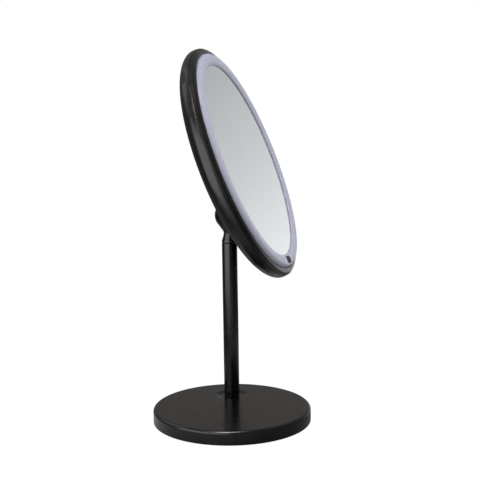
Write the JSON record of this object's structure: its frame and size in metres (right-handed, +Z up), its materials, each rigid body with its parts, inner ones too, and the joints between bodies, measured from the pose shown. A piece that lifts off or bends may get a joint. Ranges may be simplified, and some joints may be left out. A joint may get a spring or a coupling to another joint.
{
  "type": "lighted vanity mirror",
  "caption": "Round mirror with a light ring in a two-part head, held by a ball joint on a straight pole and a round weighted base.",
  "frame": {"origin": "centre of the round base's underside, at the surface that the mirror stands on", "axes": "+Z up, parallel to the pole; the mirror faces -Y, leaned back; the pole stands back from the base's middle towards +X; +X is to the right of a person who looks into it"},
  "size_m": [0.2041, 0.1318, 0.3075],
  "materials": {
    "satin_black": "satin black paint",
    "black_plastic": "fine matte moulded black",
    "head_black": "satin black moulded shell",
    "rubber": "matte black rubber",
    "foam": "closed-cell black foam",
    "iron": "raw casting",
    "steel": "zinc plated",
    "spring_steel": "blued spring steel",
    "acetal": "natural acetal",
    "mirror": "silvered float glass",
    "opal": "opal light diffuser, unlit, satin",
    "charcoal": "matt charcoal touch key",
    "board": "green solder mask",
    "white_board": "white solder mask",
    "foil": "battery pouch foil",
    "wire": "insulated lead"
  },
  "bodies": {
    "stand": {"foot_pad": "foam", "base_weight": "iron", "base_washer": "steel", "base_bolt": "steel", "base_cover": "satin_black", "pole_tube": "satin_black", "pole_insert": "steel", "swivel_bush": "acetal"},
    "swivel": {"ball_stud": "satin_black", "stud_clip": "spring_steel"},
    "seat": {"ball_seat": "acetal"},
    "head": {"rear_cover": "head_black", "front_bezel": "head_black", "light_ring": "opal", "touch_key": "charcoal", "mirror_glass": "mirror", "mirror_pad": "foam", "inner_frame": "black_plastic", "led_board": "white_board", "touch_board": "board", "control_board": "board", "charging_socket": "steel", "battery": "foil", "battery_pad": "foam", "pressure_cup": "acetal", "friction_spring": "spring_steel", "clamp_plate": "steel", "clamp_screw_1": "steel", "clamp_screw_2": "steel", "clamp_screw_3": "steel", "frame_screw_1": "steel", "frame_screw_2": "steel", "frame_screw_3": "steel", "frame_screw_4": "steel", "battery_lead": "wire", "led_lead": "wire", "touch_lead": "wire"},
    "port_flap": {"port_cover": "rubber"}
  },
  "joints": [
    {"name": "head_swivel", "type": "hinge", "parent": "stand", "child": "swivel", "pos_m": [0.0322, 0.0073, 0.1689], "axis": [0, 0, 1], "continuous": true},
    {"name": "head_tilt", "type": "hinge", "parent": "swivel", "child": "seat", "pos_m": [0.0322, 0.0073, 0.1689], "axis": [-1, 0, 0], "range_deg": [-25, 40]},
    {"name": "head_lean", "type": "hinge", "parent": "seat", "child": "head", "pos_m": [0.0322, 0.0073, 0.1689], "axis": [0, -0.9278, 0.373], "range_deg": [-4.8, 19.2]},
    {"name": "port_cover_hinge", "type": "hinge", "parent": "head", "child": "port_flap", "pos_m": [-0.02841, 0.02971, 0.28283], "axis": [0, -0.9278, 0.373], "range_deg": [0, 100]}
  ]
}
